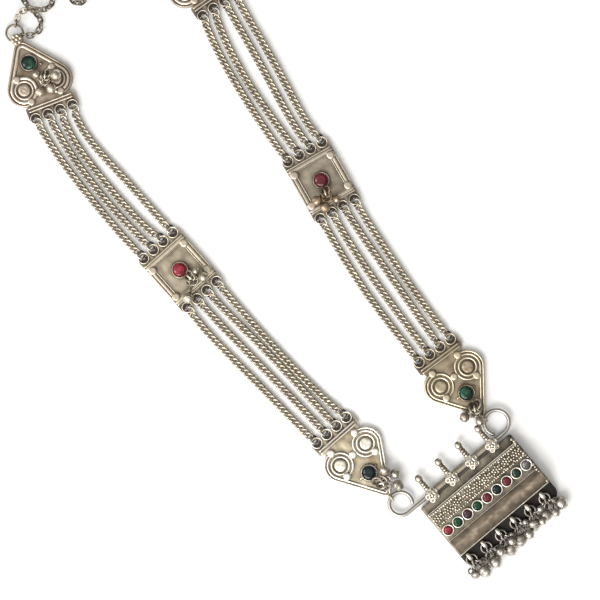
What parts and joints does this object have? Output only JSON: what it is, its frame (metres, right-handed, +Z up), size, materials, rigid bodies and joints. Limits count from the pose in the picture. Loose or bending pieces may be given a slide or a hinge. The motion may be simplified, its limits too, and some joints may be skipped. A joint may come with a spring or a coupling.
{
  "type": "long necklace",
  "caption": "long necklace of oxidised silver: a box amulet hangs from heart plaques, with curb chains, square and drop plaques, bells and a link neck chain",
  "frame": {"origin": "middle of the necklace's outline as it lies, on the surface it lies on", "axes": "+Y along the necklace from the amulet to the back of the neck, +Z up from the surface, +X to the right seen from above"},
  "size_m": [0.1297, 0.4295, 0.0093],
  "materials": {
    "plaque_silver": "oxidised silver, dark in the hollows and worn bright on top",
    "box_silver": "oxidised silver, dark in the hollows and worn bright on top",
    "bell_silver": "worn silver, dark at the loops",
    "curb_silver": "oxidised silver, dark in the hollows and worn bright on top",
    "link_silver": "dull dark silver",
    "ring_wire": "dull dark silver wire",
    "hanger_wire": "worn silver wire",
    "glass_red": "polished deep red glass",
    "glass_green": "polished deep green glass",
    "glass_bright_green": "polished green glass",
    "glass_purple": "polished brown purple glass",
    "glass_black": "polished black glass",
    "glass_clear": "polished grey clear glass"
  },
  "bodies": {
    "root": {"heart_left": "plaque_silver", "heart_right": "plaque_silver", "square_left": "plaque_silver", "square_right": "plaque_silver", "drop_left": "plaque_silver", "drop_right": "plaque_silver", "stone_heart_left": "glass_black", "stone_heart_right": "glass_green", "stone_square_left": "glass_red", "stone_square_right": "glass_red", "stone_drop_left": "glass_green", "stone_drop_right": "glass_green", "rings_heart_left": "ring_wire", "rings_heart_right": "ring_wire", "rings_square_left_top": "ring_wire", "rings_square_left_foot": "ring_wire", "rings_square_right_top": "ring_wire", "rings_square_right_foot": "ring_wire", "rings_drop_left": "ring_wire", "rings_drop_right": "ring_wire", "curb_upper_left_1": "curb_silver", "curb_upper_left_2": "curb_silver", "curb_upper_left_3": "curb_silver", "curb_upper_left_4": "curb_silver", "curb_upper_right_1": "curb_silver", "curb_upper_right_2": "curb_silver", "curb_upper_right_3": "curb_silver", "curb_upper_right_4": "curb_silver", "curb_lower_left_1": "curb_silver", "curb_lower_left_2": "curb_silver", "curb_lower_left_3": "curb_silver", "curb_lower_left_4": "curb_silver", "curb_lower_right_1": "curb_silver", "curb_lower_right_2": "curb_silver", "curb_lower_right_3": "curb_silver", "curb_lower_right_4": "curb_silver", "bells_heart_left": "bell_silver", "bells_heart_right": "bell_silver", "bells_square_left": "bell_silver", "bells_square_right": "bell_silver", "bells_drop_left": "bell_silver", "bells_drop_right": "bell_silver", "amulet_box": "box_silver", "hanger_wire": "hanger_wire", "amulet_bells": "bell_silver", "stone_amulet_1": "glass_red", "stone_amulet_2": "glass_green", "stone_amulet_3": "glass_purple", "stone_amulet_4": "glass_bright_green", "stone_amulet_5": "glass_red", "stone_amulet_6": "glass_black", "stone_amulet_7": "glass_red", "stone_amulet_8": "glass_green", "stone_amulet_9": "glass_clear", "neck_chain_left": "link_silver", "neck_chain_right": "link_silver", "tail_chain": "link_silver", "end_ring_left": "ring_wire", "end_ring_right": "ring_wire"}
  },
  "joints": []
}
